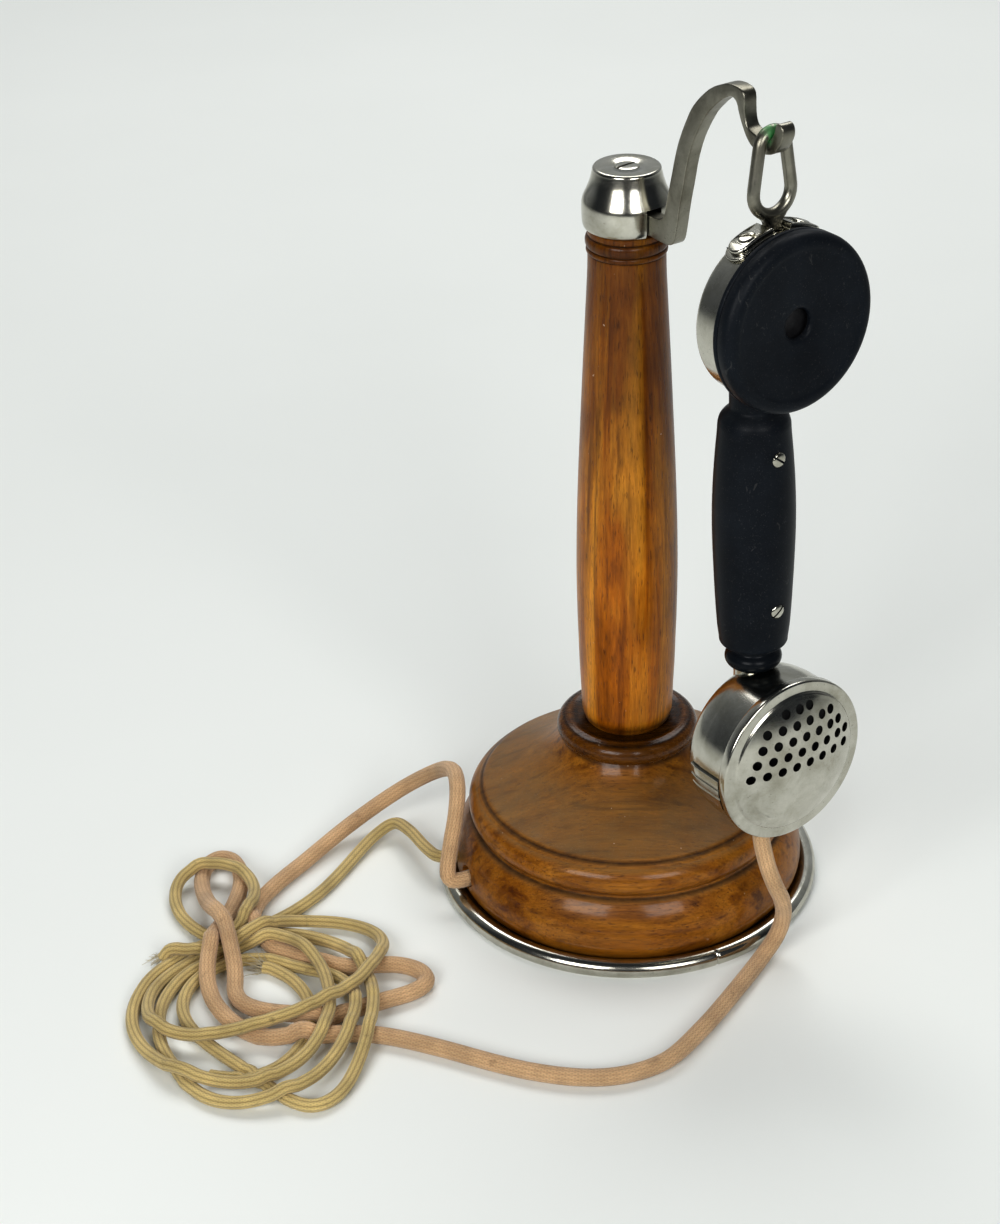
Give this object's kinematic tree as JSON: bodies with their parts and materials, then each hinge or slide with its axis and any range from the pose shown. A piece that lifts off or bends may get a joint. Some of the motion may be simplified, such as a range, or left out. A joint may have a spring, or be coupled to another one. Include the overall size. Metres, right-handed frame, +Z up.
{
  "type": "telephone",
  "caption": "Turned wooden column telephone with a spring hook that carries a hanging one-piece handset; fabric cords lie coiled beside the base.",
  "frame": {"origin": "centre of the flat face the base rests on", "axes": "+Z up along the column; the hook and handset hang to the front right, between +X and -Y; the cords lie on the -X side"},
  "size_m": [0.2702, 0.229, 0.3407],
  "materials": {
    "nickel": "nickel plate, warm grey patina",
    "dark_nickel": "worn nickel over steel, matt",
    "steel": "plain steel",
    "base_wood": "dark mahogany, waxed",
    "collar_wood": "very dark mahogany, waxed",
    "column_wood": "golden walnut, satin",
    "board_wood": "plain hardwood",
    "brass": "satin",
    "spring_brass": "spring sheet, satin",
    "silver_contact": "polished",
    "ebonite": "black ebonite, satin with dust",
    "green_silk": "silk-covered wire",
    "magnet_paint": "red lacquer",
    "carbon": "pressed carbon",
    "felt": "felt",
    "handset_cord": "braided cotton, pinkish tan",
    "line_cord": "braided cotton, yellowish tan with dark ribs"
  },
  "bodies": {
    "stand": {"base_ring": "nickel", "base_plate": "steel", "base_screws": "steel", "base_body": "base_wood", "terminal_board": "board_wood", "terminal_screws": "brass", "coil_core": "steel", "coil_bobbin": "board_wood", "coil_winding": "green_silk", "cord_clamps": "brass", "clamp_screws": "steel", "column_collar": "collar_wood", "column": "column_wood", "tie_rod": "steel", "tie_washers": "steel", "tie_nuts": "steel", "switch_wires": "green_silk", "switch_frame": "brass", "switch_block": "ebonite", "switch_screws": "brass", "fixed_blade": "spring_brass", "fixed_contact": "silver_contact", "pivot_pin": "steel", "cap": "nickel", "cap_screw": "nickel", "handset_cord_drop": "handset_cord", "handset_cord_base_run": "handset_cord", "line_cord_run": "line_cord", "cord_bundle": "line_cord"},
    "handset": {"stirrup": "dark_nickel", "stirrup_yoke": "nickel", "yoke_screws": "nickel", "receiver_case": "nickel", "receiver_bracket": "dark_nickel", "bracket_screws": "nickel", "receiver_magnet": "magnet_paint", "pole_pieces": "steel", "receiver_coils": "green_silk", "receiver_diaphragm": "steel", "ear_cap": "ebonite", "handle_grip": "ebonite", "handle_core": "brass", "handle_screws": "nickel", "handle_ferrule": "ebonite", "transmitter_neck": "nickel", "transmitter_case": "nickel", "transmitter_clip": "nickel", "back_electrode": "carbon", "carbon_chamber": "brass", "felt_ring": "felt", "transmitter_diaphragm": "carbon", "transmitter_cover": "nickel", "cord_gland": "ebonite"},
    "lever": {"hook_lever": "dark_nickel", "lever_button": "ebonite"},
    "blade": {"moving_blade": "spring_brass", "moving_contact": "silver_contact"}
  },
  "joints": [
    {"name": "handset_lift", "type": "slide", "parent": "stand", "child": "handset", "axis": [0, 0, 1], "range_m": [0, 0.02]},
    {"name": "hook_lever_turn", "type": "hinge", "parent": "stand", "child": "lever", "pos_m": [0.00241, -0.00319, 0.2795], "axis": [-0.7986, -0.6018, 0], "range_deg": [0, 5.6]},
    {"name": "switch_blade_bend", "type": "hinge", "parent": "stand", "child": "blade", "pos_m": [0.00235, -0.00311, 0.243], "axis": [0.7986, 0.6018, 0], "range_deg": [0, 3.2]}
  ],
  "couplings": [
    {"joint": "hook_lever_turn", "follows": "handset_lift", "rad_per_m": 4.8},
    {"joint": "switch_blade_bend", "follows": "handset_lift", "rad_per_m": 2.75}
  ]
}
